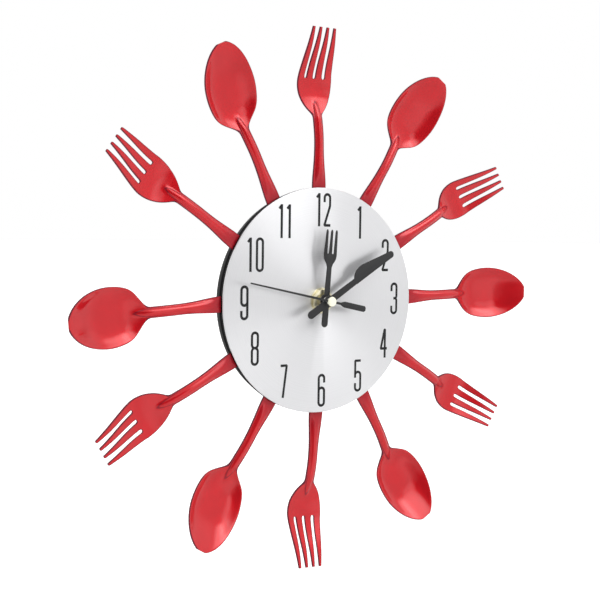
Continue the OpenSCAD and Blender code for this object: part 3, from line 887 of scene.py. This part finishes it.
@dataclass
class Spoon(Cutlery):
    """A spoon with an oval bowl."""

    bowl_l: float = 51.2
    bowl_w: float = 32.2
    oval_power: float = 0.56
    crowding: float = 1.6
    hollow: float = 4.2
    lip_w: float = 0.8
    pan_power: float = 3.2
    bow: tuple[Point, ...] = (
        (-0.2, 0), (0, 1.6), (0.14, 3), (0.25, 2.1), (0.37, 0.8), (0.49, -0.7),
        (0.63, -2.2), (0.78, -4.7), (0.9, -7), (1, -9.3),
    )
    steps: tuple[float, ...] = (
        0.04, 0.08, 0.12, 0.165, 0.21, 0.27, 0.34, 0.42, 0.5, 0.58, 0.66, 0.74, 0.81, 0.87,
        0.92, 0.955, 0.975, 0.986,
    )
    inner: int = 4
    outer: int = 7

    def rows(self) -> list[float]:
        """Returns the rows of the grid, as distances beyond the dial's edge."""
        return [*self.handle_rows, *(self.handle_l + self.bowl_l * x for x in self.steps)]

    def half(self, s: float) -> float:
        """Gives half the piece's width.

        Args:
            s: Distance beyond the dial's edge.

        Returns:
            Half its width there.
        """
        x = (s - self.handle_l) / self.bowl_l * 2 - 1
        if x <= -1:
            return super().half(s)
        oval = max(0.0, 1 - x * x) ** self.oval_power * self.bowl_w / 2
        return oval if x > 0 else max(oval * ease(-1.2, -0.5, x), self.handle_half(s))

    def lines(self, s: float) -> list[float]:
        """Gives the places of the grid's lines right of the middle.

        Args:
            s: The row, as a distance beyond the dial's edge.

        Returns:
            Distances from the middle line.
        """
        ridge = min(self.ridge_half(s), self.half(s) * 0.9)
        rest = self.half(s) - ridge
        middle = [ridge * i / (self.inner - 1) for i in range(self.inner)]
        steps = (1 - (1 - i / self.outer) ** self.crowding for i in range(1, self.outer + 1))
        return middle + [ridge + rest * step for step in steps]

    def front(self, s: float, across: float) -> float:
        """Gives the depth of the front skin.

        Args:
            s: Distance beyond the dial's edge.
            across: Distance from the middle line.

        Returns:
            How far it lies behind the dial's front.
        """
        x = (s - self.handle_l) / self.bowl_l
        edge = self.tang_mid + lookup(self.bow, x) - self.metal_t / 2
        if x <= 0:
            return edge - self.ridge(s, across)
        side = min(1.0, abs(across) / max(1.0, self.half(s) - self.lip_w))
        pan = 1 - side**self.pan_power
        along = ease(0.04, 0.36, x) * (1 - ease(0.62, 1, x))
        return edge + self.hollow * along * pan - self.ridge(s, across)


@dataclass
class Fork(Cutlery):
    """A fork with four tines."""

    head_l: float = 50.7
    head_w: float = 23.0
    tip_w: float = 15.4
    slot_l: float = 27.0
    slot_w: float = 2.2
    tine_tip_w: float = 1.4
    neck_l: float = 2.5
    shoulder_swell: Point = (2.2, 0.85)
    tine_power: float = 1.6
    dish: float = 1.2
    bow: tuple[Point, ...] = (
        (-0.2, 0), (0, 1.6), (0.14, 4.3), (0.26, 5.6), (0.38, 5.6), (0.5, 4.3),
        (0.63, 1.7), (0.79, -1.8), (0.9, -3.6), (1, -5),
    )
    palm_steps: tuple[float, ...] = (0.04, 0.08, 0.12, 0.16, 0.2, 0.25, 0.3, 0.36, 0.42)
    tine_steps: tuple[float, ...] = (
        0.012, 0.035, 0.09, 0.2, 0.34, 0.5, 0.66, 0.82, 0.93, 0.97, 0.987,
    )

    def slot_root(self) -> float:
        """Returns where the slots begin, as a distance beyond the dial's edge."""
        return self.handle_l + self.head_l - self.slot_l - self.slot_w / 2

    def rows(self) -> list[float]:
        """Gives the rows of the grid.

        Returns:
            Distances beyond the dial's edge.
        """
        root = self.slot_root()
        reach = self.handle_l + self.head_l - root
        palm = [self.handle_l + self.head_l * x for x in self.palm_steps]
        return [*self.handle_rows, *palm, root, *(root + reach * x for x in self.tine_steps)]

    def half(self, s: float) -> float:
        """Gives half the piece's width.

        Args:
            s: Distance beyond the dial's edge.

        Returns:
            Half its width there.
        """
        x = s - self.handle_l
        shoulder = self.head_l - self.slot_l - 3
        if x <= 0:
            return super().half(s)
        if x < shoulder:
            rise = max(0.0, (x - self.neck_l) / (shoulder - self.neck_l))
            grow = (1 - (1 - rise) ** self.shoulder_swell[0]) ** self.shoulder_swell[1]
            return self.handle_w / 2 + (self.head_w - self.handle_w) / 2 * grow
        taper = (x - shoulder) / (self.head_l - shoulder)
        return self.head_w / 2 - (self.head_w - self.tip_w) / 2 * taper

    def tine_lines(self, s: float) -> list[float]:
        """Gives the places of the tines' edges and middles.

        Args:
            s: The row, as a distance beyond the dial's edge.

        Returns:
            Distances from the middle line.
        """
        half = self.half(s)
        along = min(1.0, max(0.0, (s - self.slot_root()) / (self.slot_l + self.slot_w / 2)))
        root_w = (self.head_w - 3 * self.slot_w) / 4
        tine = root_w + (self.tine_tip_w - root_w) * along**self.tine_power
        pitch = (2 * half - tine) / 3
        inner, outer = pitch / 2, pitch * 1.5
        round_r = self.slot_w / 2
        from_end = max(0.0, round_r - max(0.0, s - self.slot_root()))
        gap = (pitch - tine) / 2 * math.sqrt(max(0.15, 1 - (from_end / round_r) ** 2))
        return [0.0, gap, inner, pitch - gap, pitch, pitch + gap, outer, half]

    def lines(self, s: float) -> list[float]:
        """Gives the places of the grid's lines right of the middle.

        Args:
            s: The row, as a distance beyond the dial's edge.

        Returns:
            Distances from the middle line.
        """
        ridge = self.ridge_half(s)
        rest = self.half(s) - ridge
        plain = [ridge * i / 3 for i in range(4)] + [ridge + rest * i / 4 for i in range(1, 5)]
        x = (s - self.handle_l) / self.head_l
        blend = ease(0.14, 0.40, x)
        return [a + (b - a) * blend for a, b in zip(plain, self.tine_lines(s))]

    def front(self, s: float, across: float) -> float:
        """Gives the depth of the front skin.

        Args:
            s: Distance beyond the dial's edge.
            across: Distance from the middle line.

        Returns:
            How far it lies behind the dial's front.
        """
        x = (s - self.handle_l) / self.head_l
        edge = self.tang_mid + lookup(self.bow, x) - self.metal_t / 2
        side = min(1.0, abs(across) / self.half(s))
        dish = self.dish * ease(0.04, 0.42, x) * (1 - ease(0.55, 1, x)) if x > 0 else 0.0
        return edge + dish * (1 - side * side) - self.ridge(s, across)

    def outline_gap(self, s: float, across: float) -> float:
        """Measures how far a place is from the nearest cut edge of the sheet.

        Args:
            s: Distance beyond the dial's edge.
            across: Distance from the middle line.

        Returns:
            The gap.
        """
        if s < self.slot_root():
            return min(self.half(s) - across, self.slot_root() - s + 0.3 * self.slot_w)
        lines = self.tine_lines(s)
        edges = (lines[1], lines[3], lines[5], lines[7])
        return min(*(abs(across - edge) for edge in edges), self.handle_l + self.head_l - s)

    def cut(self, bench: Bench) -> None:
        """Deletes the grid's faces between the tines.

        Args:
            bench: The flat grid, in edit mode.
        """
        root = (self.dial_r + self.slot_root()) * MM

        def between(co: Vector) -> bool:
            """Says whether a place is in a slot.

            Args:
                co: The place.

            Returns:
                True if it lies between two tines.
            """
            if co.z < root:
                return False
            lines = self.tine_lines(co.z / MM - self.dial_r)
            x = abs(co.x) / MM
            return x < lines[1] or lines[3] < x < lines[5]

        bench.pick_faces(between)
        bpy.ops.mesh.delete(type="FACE")


@dataclass
class CutlerySet:
    """Twelve forks and spoons in turn round the rim."""

    fork: Fork = field(default_factory=Fork)
    spoon: Spoon = field(default_factory=Spoon)

    def build(self, wardrobe: Wardrobe) -> list[Piece]:
        """Models one fork and one spoon, and copies them round the dial.

        Args:
            wardrobe: Where the finishes come from.

        Returns:
            The twelve pieces.
        """
        pieces = []
        for kind, maker, first in (("fork", self.fork, 0), ("spoon", self.spoon, 1)):
            blank = maker.blank(f"{kind}_blank")
            wardrobe.put_on(blank, Finish.LACQUER)
            for hour in range(first, 12, 2):
                node = f"{kind}_{hour or 12:02d}"
                piece = maker.at_hour(blank, hour, f"{node}_lacquered")
                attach(piece, "case")
                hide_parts(node)
                LOG.info("%s: %d faces", piece.name, len(piece.data.polygons))
                pieces.append(piece)
            bpy.data.objects.remove(blank)
        return pieces


# ---- numerals


Stroke = tuple[bool, list[tuple[float, float, float]]]


@dataclass
class Numerals:
    """Tall narrow numerals printed on the dial."""

    half_w: float = 1.9
    half_h: float = 8.9
    stroke: float = 1.55
    ring_r: float = 52.3
    ring_x: float = 0.88
    dial_front: float = -19.2
    relief: float = 0.03
    nudge: dict[int, Point] = field(default_factory=lambda: {
        1: (-0.8, 0.1), 8: (0, 0.4), 10: (-0.2, 0.4), 11: (-0.5, 0.1),
    })
    advance: dict[str, float] = field(default_factory=lambda: {"10": 6.4, "11": 5.3, "12": 6.0})

    def glyph(self, digit: str) -> list[Stroke]:
        """Draws one digit round its middle.

        Args:
            digit: The digit.

        Returns:
            Strokes, each a mark that says whether it is closed and its corners, which are
            an x, a z and the radius that rounds the corner.
        """
        w, h = self.half_w, self.half_h
        hook = 4.5
        waist = 0.3
        bar = -3.9
        top_left, top_right = (-w, h, w), (w, h, w)
        low_left, low_right = (-w, -h, w), (w, -h, w)
        six = [
            (w, h - hook, 0), top_right, top_left, low_left, low_right,
            (w, 1.5, w), (-w, 1.5, w), (-w, -0.6, 0),
        ]
        shapes: dict[str, list[Stroke]] = {
            "0": [(True, [top_left, top_right, low_right, low_left])],
            "1": [(False, [(0.4, -h - 0.6, 0), (0.4, h + 0.6, 0)]),
                  (False, [(0.4, h + 0.2, 0), (-1.3, h - 1.9, 0)])],
            "2": [(False, [(-w, h - hook, 0), top_left, top_right, (w, 2.2, 1.4),
                           (-w, -h, 0.35), (w + 0.4, -h, 0)])],
            "3": [(False, [(-w, h - hook, 0), top_left, top_right, (w, 0.1, 1.4),
                           (-0.4, 0.1, 0)]),
                  (False, [(-0.4, 0.1, 0), (w, 0.1, 1.4), low_right, low_left,
                           (-w, hook - h, 0)])],
            "4": [(False, [(0.9, -h - 0.6, 0), (0.9, h, 0.2), (-2.1, bar, 0.3), (2.5, bar, 0)])],
            "5": [(False, [(w + 0.2, h, 0), (-w, h, 0.3), (-w, -1.2, 0)]),
                  (False, [(-w, 0.3, 0), (-w, 2.2, w), (w, 2.2, w), low_right, low_left,
                           (-w, hook - h, 0)])],
            "6": [(False, six)],
            "7": [(False, [(-w - 0.3, h, 0), (w, h, 0.35), (-0.6, -h - 0.6, 0)])],
            "8": [(True, [top_left, top_right, (w, waist, w), (-w, waist, w)]),
                  (True, [(-w, waist, w), (w, waist, w), low_right, low_left])],
            "9": [(False, [(-x, -z, r) for x, z, r in six])],
        }
        return shapes[digit]

    def path(self, stroke: Stroke) -> list[Point]:
        """Rounds a stroke's corners.

        Args:
            stroke: The stroke, as glyph gives it.

        Returns:
            The points along its middle line.
        """
        closed, corners = stroke
        count = len(corners)
        points: list[Point] = []
        for i, (x, z, radius) in enumerate(corners):
            here = Vector((x, z))
            if radius == 0 or (not closed and i in (0, count - 1)):
                points.append((x, z))
                continue
            before = Vector(corners[i - 1][:2]) - here
            after = Vector(corners[(i + 1) % count][:2]) - here
            before.normalize()
            after.normalize()
            half_angle = before.angle(after) / 2
            along = radius / math.tan(half_angle)
            centre = here + (before + after).normalized() * radius / math.sin(half_angle)
            first = here + before * along - centre
            last = here + after * along - centre
            turn = first.angle_signed(last)
            steps = max(2, round(abs(turn) / math.radians(12)))
            for k in range(steps + 1):
                spoke = first.copy()
                spoke.rotate(Matrix.Rotation(-turn * k / steps, 2))
                points.append(tuple(centre + spoke))
        return points

    def build_one(self, hour: int) -> Piece:
        """Makes one hour's numeral.

        Args:
            hour: Which hour, from 1 to 12.

        Returns:
            The flat mesh, in place on the dial.
        """
        text = str(hour)
        gap = self.advance.get(text, 0.0)
        curve = bpy.data.curves.new(f"numeral_{hour:02d}", "CURVE")
        curve.dimensions = "3D"
        curve.bevel_depth = self.stroke / 2 * MM
        curve.bevel_resolution = 3
        curve.use_fill_caps = True
        xs: list[float] = []
        for i, digit in enumerate(text):
            at = gap * (i - (len(text) - 1) / 2)
            for stroke in self.glyph(digit):
                points = self.path(stroke)
                spline = curve.splines.new("POLY")
                spline.points.add(len(points) - 1)
                spline.use_cyclic_u = stroke[0]
                for point, (x, z) in zip(spline.points, points):
                    point.co = ((x + at) * MM, 0, z * MM, 1)
                    xs.append(x + at)
        piece = bpy.data.objects.new(f"numeral_{hour:02d}", curve)
        bpy.context.scene.collection.objects.link(piece)
        make_active(piece)
        bpy.ops.object.convert(target="MESH")
        piece = bpy.context.object
        angle = math.radians(30 * hour)
        middle = (max(xs) + min(xs)) / 2
        spot = Vector((
            self.ring_x + self.ring_r * math.sin(angle) - middle + self.nudge.get(hour, (0, 0))[0],
            self.dial_front,
            self.ring_r * math.cos(angle) + self.nudge.get(hour, (0, 0))[1],
        )) * MM
        flat = Matrix.Diagonal((1, self.relief / (self.stroke / 2), 1, 1))
        place(piece, Matrix.Translation(spot) @ flat)
        smooth(piece, 60)
        return piece

    def build(self, wardrobe: Wardrobe) -> list[Piece]:
        """Prints all twelve numerals.

        Args:
            wardrobe: Where the finishes come from.

        Returns:
            The twelve pieces.
        """
        pieces = []
        for hour in range(1, 13):
            piece = self.build_one(hour)
            wardrobe.put_on(piece, Finish.INK)
            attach(piece, "case")
            LOG.info("%s: %d faces", piece.name, len(piece.data.polygons))
            pieces.append(piece)
        return pieces


# ---- pieces that keep the CAD shape


@dataclass
class Broken:
    """A CAD shape whose sharp edges are broken, as on the moulded, cut or turned piece."""

    node: str
    body: str
    finish: Finish
    slot: str
    edge: float = 0.2
    angle: float = 32

    def build(self, nodes: dict[str, Piece], wardrobe: Wardrobe) -> Piece:
        """Copies the node's mesh, joins its loose triangles, and bevels its edges.

        Args:
            nodes: The CAD nodes by name.
            wardrobe: Where the finishes come from.

        Returns:
            The piece that stands for the node.
        """
        source = nodes[self.node]
        piece = bpy.data.objects.new(f"{self.node}_finished", source.data.copy())
        bpy.context.scene.collection.objects.link(piece)
        bench = Bench(piece)
        bpy.ops.mesh.select_all(action="SELECT")
        bpy.ops.mesh.remove_doubles(threshold=0.002 * MM)
        bpy.ops.mesh.dissolve_limited(angle_limit=math.radians(0.6))
        bench.close()
        apply_modifier(
            piece,
            "BEVEL",
            width=self.edge * MM,
            segments=2,
            limit_method="ANGLE",
            angle_limit=math.radians(self.angle),
        )
        smooth(piece)
        wardrobe.put_on(piece, self.finish)
        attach(piece, self.body)
        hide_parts(self.node)
        LOG.info("%s: %d faces", piece.name, len(piece.data.polygons))
        return piece


@dataclass
class Assembly:
    """A group of pieces: some have their edges broken, and some are only dressed."""

    pieces: tuple[Broken, ...]
    dressed: dict[Finish, tuple[str, ...]] = field(default_factory=dict)

    def build(self, nodes: dict[str, Piece], wardrobe: Wardrobe) -> list[Piece]:
        """Dresses the plain nodes, then builds the pieces with broken edges.

        Args:
            nodes: The CAD nodes by name.
            wardrobe: Where the finishes come from.

        Returns:
            The new pieces.
        """
        for finish, names in self.dressed.items():
            for name in names:
                wardrobe.put_on_node(nodes[name], finish)
                LOG.info("%s: dressed", name)
        return [piece.build(nodes, wardrobe) for piece in self.pieces]


@dataclass
class CaseAndHands(Assembly):
    """The dial, the two shells, the neck's fittings and the hands."""

    pieces: tuple[Broken, ...] = (
        Broken("dial_plate", "case", Finish.DIAL, "dial", 0.12),
        Broken("front_shell", "case", Finish.CASE, "case_plastic", 0.2),
        Broken("rear_shell", "case", Finish.CASE, "case_plastic", 0.25),
        Broken("case_screws", "case", Finish.STEEL, "screw_steel", 0.1),
        Broken("neck_washer", "case", Finish.BRASS, "brass", 0.1),
        Broken("neck_nut", "case", Finish.BRASS, "brass", 0.25),
        Broken("hour_hand", "hour", Finish.HAND, "hand_black", 0.1),
        Broken("minute_hand", "minute", Finish.HAND, "hand_black", 0.1),
        Broken("second_hand", "second", Finish.HAND, "hand_black", 0.06),
        Broken("second_hand_cap", "second", Finish.CAP, "cap_plastic", 0.15),
    )


@dataclass
class Movement(Assembly):
    """The quartz movement: moulded covers with broken edges, and dressed works."""

    pieces: tuple[Broken, ...] = (
        Broken("movement_tray", "case", Finish.MOVEMENT, "movement_plastic", 0.3),
        Broken("movement_cover", "case", Finish.MOVEMENT, "movement_plastic", 0.3),
        Broken("battery", "cell", Finish.CELL, "cell", 0.5),
        Broken("setting_knob", "setting", Finish.KNOB, "knob_plastic", 0.08),
    )
    dressed: dict[Finish, tuple[str, ...]] = field(default_factory=lambda: {
        Finish.ACETAL: (
            "train_plate", "hour_wheel", "cannon_pinion", "minute_wheel", "second_wheel", "third_wheel",
            "intermediate_wheel", "rotor_pinion", "motion_wheel", "coil_bobbin",
        ),
        Finish.STEEL: ("plate_screws", "quartz_crystal", "contact_positive", "contact_negative"),
        Finish.BRASS: ("neck_bush", "second_hand_collet"),
        Finish.RUBBER: ("gasket",),
        Finish.MAGNET: ("rotor_magnet",),
        Finish.STATOR: ("stator",),
        Finish.WIRE: ("coil_winding",),
        Finish.BOARD: ("circuit_board",),
        Finish.RESIN: ("clock_chip",),
    })


# ---- studio


def direction(azimuth: float, elevation: float) -> Vector:
    """Returns the unit vector from the clock towards an azimuth and elevation, in degrees."""
    a, e = math.radians(azimuth), math.radians(elevation)
    return Vector((math.sin(a) * math.cos(e), -math.cos(a) * math.cos(e), math.sin(e)))


@dataclass(frozen=True)
class Panel:
    """A round soft-edged patch of the surround; its angles are in degrees."""

    azimuth: float
    elevation: float
    inner: float
    outer: float
    level: float


class Surround(NodeTree):
    """Builds the world's light out of patches."""

    def __init__(self) -> None:
        """Starts an empty world and gives it to the scene."""
        world = bpy.data.worlds.new("surround")
        bpy.context.scene.world = world
        world.use_nodes = True
        super().__init__(world.node_tree)
        self.tree.nodes.clear()
        self.look = self.add("ShaderNodeTexCoord").outputs["Generated"]

    def patch(self, panel: Panel) -> Socket:
        """Adds a patch that is level inside its inner angle and 0 past the outer.

        Args:
            panel: Where the patch is and how strong.

        Returns:
            Its strength in the direction looked at.
        """
        dot = self.add("ShaderNodeVectorMath", operation="DOT_PRODUCT")
        dot.inputs[1].default_value = direction(panel.azimuth, panel.elevation)
        self.link(self.look, dot.inputs[0])
        fade = self.add("ShaderNodeMapRange", interpolation_type="SMOOTHSTEP")
        fade.inputs["From Min"].default_value = math.cos(math.radians(panel.outer))
        fade.inputs["From Max"].default_value = math.cos(math.radians(panel.inner))
        fade.inputs["To Max"].default_value = panel.level
        self.link(dot.outputs["Value"], fade.inputs["Value"])
        return fade.outputs["Result"]

    def combine(self, operation: str, first: Socket | float, second: Socket) -> Socket:
        """Joins two values by one sum.

        Args:
            operation: Blender's name for the sum.
            first: A value or a number.
            second: The other value.

        Returns:
            The result.
        """
        node = self.add("ShaderNodeMath", operation=operation)
        if isinstance(first, float):
            node.inputs[0].default_value = first
        else:
            self.link(first, node.inputs[0])
        self.link(second, node.inputs[1])
        return node.outputs["Value"]

    def close(self, light: Socket) -> None:
        """Lights the clock by the patches, and shows the camera plain white.

        Args:
            light: The strength in each direction.
        """
        room = self.add("ShaderNodeBackground")
        self.link(light, room.inputs["Color"])
        white = self.add("ShaderNodeBackground")
        white.inputs["Color"].default_value = (1, 1, 1, 1)
        ray = self.add("ShaderNodeLightPath")
        mix = self.add("ShaderNodeMixShader")
        self.link(ray.outputs["Is Camera Ray"], mix.inputs["Fac"])
        self.link(room.outputs["Background"], mix.inputs[1])
        self.link(white.outputs["Background"], mix.inputs[2])
        out = self.add("ShaderNodeOutputWorld")
        self.link(mix.outputs["Shader"], out.inputs["Surface"])


@dataclass
class Studio:
    """A pale floor, a white surround, softboxes, and the camera."""

    target: tuple[float, float, float] = (-14.7, -19.2, 0.7)
    azimuth: float = -33.3
    elevation: float = 3.61
    roll: float = 0.68
    distance: float = 621.8
    lens: float = 65.39
    floor_drop: float = 330.0
    floor_tone: float = 0.9
    surround: float = 0.80
    dark_patch: Panel = Panel(-25.3, 9.61, 21, 38, 0.76)
    panels: tuple[Panel, ...] = (
        Panel(15, 46, 8, 24, 2.1),
        Panel(40, 46, 8, 22, 2.2),
        Panel(10, 18, 3, 15, 0.9),
        Panel(-95, 25, 6, 26, 0.9),
        Panel(75, 25, 6, 26, 0.25),
        Panel(4, -14, 8, 30, 0.35),
    )
    key_power: float = 0.9
    key_size: float = 0.5
    key_angles: Point = (26, 52)

    def camera(self) -> None:
        """Sets the camera up."""
        back = direction(self.azimuth, self.elevation)
        right = (-back).cross(Vector((0, 0, 1))).normalized()
        up = right.cross(-back)
        roll = math.radians(self.roll)
        x = right * math.cos(roll) + up * math.sin(roll)
        y = up * math.cos(roll) - right * math.sin(roll)
        data = bpy.data.cameras.new("camera")
        data.lens = self.lens
        data.sensor_width = 36
        data.clip_start = 0.01
        data.clip_end = 50
        camera = bpy.data.objects.new("camera", data)
        bpy.context.scene.collection.objects.link(camera)
        turn = Matrix((x, y, back)).transposed().to_4x4()
        spot = (Vector(self.target) + back * self.distance) * MM
        camera.matrix_world = Matrix.Translation(spot) @ turn
        bpy.context.scene.camera = camera

    def key_light(self) -> None:
        """Hangs the one lamp that casts soft shadows, above and in front of the clock."""
        light = bpy.data.lights.new("key_light", "AREA")
        light.shape = "DISK"
        light.size = self.key_size
        light.energy = self.key_power
        lamp = bpy.data.objects.new("key_light", light)
        bpy.context.scene.collection.objects.link(lamp)
        towards = direction(*self.key_angles)
        lamp.location = towards
        lamp.rotation_euler = towards.to_track_quat("Z", "Y").to_euler()
        lamp.visible_camera = False
        lamp.visible_glossy = False

    def world(self) -> None:
        """Makes the surround: white, darker round the camera, with soft-edged bright panels."""
        surround = Surround()
        light = surround.combine("SUBTRACT", self.surround, surround.patch(self.dark_patch))
        for panel in self.panels:
            light = surround.combine("ADD", light, surround.patch(panel))
        surround.close(light)

    def floor(self) -> None:
        """Lays the pale floor."""
        bpy.ops.object.select_all(action="DESELECT")
        bpy.ops.mesh.primitive_grid_add(
            x_subdivisions=8, y_subdivisions=8, size=60, location=(0, 0, -self.floor_drop * MM)
        )
        floor = bpy.context.object
        floor.name = "floor"
        dress = Dress("pale_floor")
        tone = (self.floor_tone,) * 3
        dress.paint(dress.tint(dress.noise(3, 2), tone, 0.99, 1.01))
        dress.set(Roughness=0.9, Specular_IOR_Level=0.1)
        dress.set(Emission_Color=(1.0, 1.0, 1.0), Emission_Strength=0.4)
        floor.data.materials.append(dress.material)
        floor.visible_glossy = False
        floor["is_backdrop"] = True

    def build(self) -> None:
        """Builds the whole studio."""
        self.camera()
        self.world()
        self.floor()
        self.key_light()
        bpy.context.scene.view_settings.view_transform = "Standard"


def corners(box: tuple[Vector, Vector]) -> list[list[float]]:
    """Returns a box's two corners as plain lists."""
    return [list(corner) for corner in box]


def main() -> None:
    """Builds the clock on its frame, then the studio."""
    logging.basicConfig(level=logging.INFO, format="%(name)s %(message)s")
    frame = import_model()
    cad_box = corners(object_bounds())
    nodes = frame["nodes"]
    wardrobe = Wardrobe()
    CutlerySet().build(wardrobe)
    Numerals().build(wardrobe)
    CaseAndHands().build(nodes, wardrobe)
    Movement().build(nodes, wardrobe)
    Studio().build()
    {"cad": cad_box, "visual": corners(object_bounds())}


if __name__ == "__main__":
    main()
